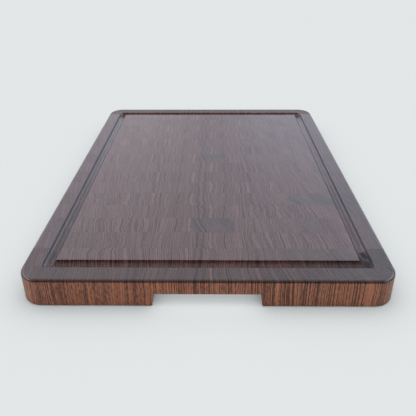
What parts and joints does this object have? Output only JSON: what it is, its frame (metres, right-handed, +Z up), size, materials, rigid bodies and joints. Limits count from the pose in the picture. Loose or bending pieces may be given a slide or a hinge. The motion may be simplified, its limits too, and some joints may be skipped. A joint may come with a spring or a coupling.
{
  "type": "end-grain cutting board",
  "caption": "Flat end-grain butcher block board of glued wood blocks, with rounded corners, a juice groove round its cutting face and a finger grip under each end.",
  "frame": {"origin": "middle of the underside, on the surface that the board lies on", "axes": "+Z up out of the cutting face, +Y from the front end to the back end, +X to the right seen from the front"},
  "size_m": [0.33, 0.432, 0.028],
  "materials": {
    "walnut": "oiled walnut with a satin sheen"
  },
  "bodies": {
    "root": {"back_inner_strip_block_2": "walnut", "back_inner_strip_block_3": "walnut", "back_inner_strip_block_4": "walnut", "back_inner_strip_block_5": "walnut", "back_inner_strip_block_6": "walnut", "back_inner_strip_side_blocks": "walnut", "back_strip_block_2": "walnut", "back_strip_block_3": "walnut", "back_strip_block_4": "walnut", "back_strip_block_5": "walnut", "back_strip_block_6": "walnut", "back_strip_side_blocks": "walnut", "board_2_field_blocks": "walnut", "board_3_field_blocks": "walnut", "board_4_field_blocks": "walnut", "board_5_field_blocks": "walnut", "board_6_field_blocks": "walnut", "front_inner_strip_block_2": "walnut", "front_inner_strip_block_3": "walnut", "front_inner_strip_block_4": "walnut", "front_inner_strip_block_5": "walnut", "front_inner_strip_block_6": "walnut", "front_inner_strip_side_blocks": "walnut", "front_strip_block_2": "walnut", "front_strip_block_3": "walnut", "front_strip_block_4": "walnut", "front_strip_block_5": "walnut", "front_strip_block_6": "walnut", "front_strip_side_blocks": "walnut", "strip_03_left_block": "walnut", "strip_03_right_block": "walnut", "strip_04_left_block": "walnut", "strip_04_right_block": "walnut", "strip_05_left_block": "walnut", "strip_05_right_block": "walnut", "strip_06_left_block": "walnut", "strip_06_right_block": "walnut", "strip_07_left_block": "walnut", "strip_07_right_block": "walnut", "strip_08_left_block": "walnut", "strip_08_right_block": "walnut", "strip_09_left_block": "walnut", "strip_09_right_block": "walnut", "strip_10_left_block": "walnut", "strip_10_right_block": "walnut", "strip_11_left_block": "walnut", "strip_11_right_block": "walnut", "strip_12_left_block": "walnut", "strip_12_right_block": "walnut", "strip_13_left_block": "walnut", "strip_13_right_block": "walnut", "strip_14_left_block": "walnut", "strip_14_right_block": "walnut", "strip_15_left_block": "walnut", "strip_15_right_block": "walnut"}
  },
  "joints": []
}
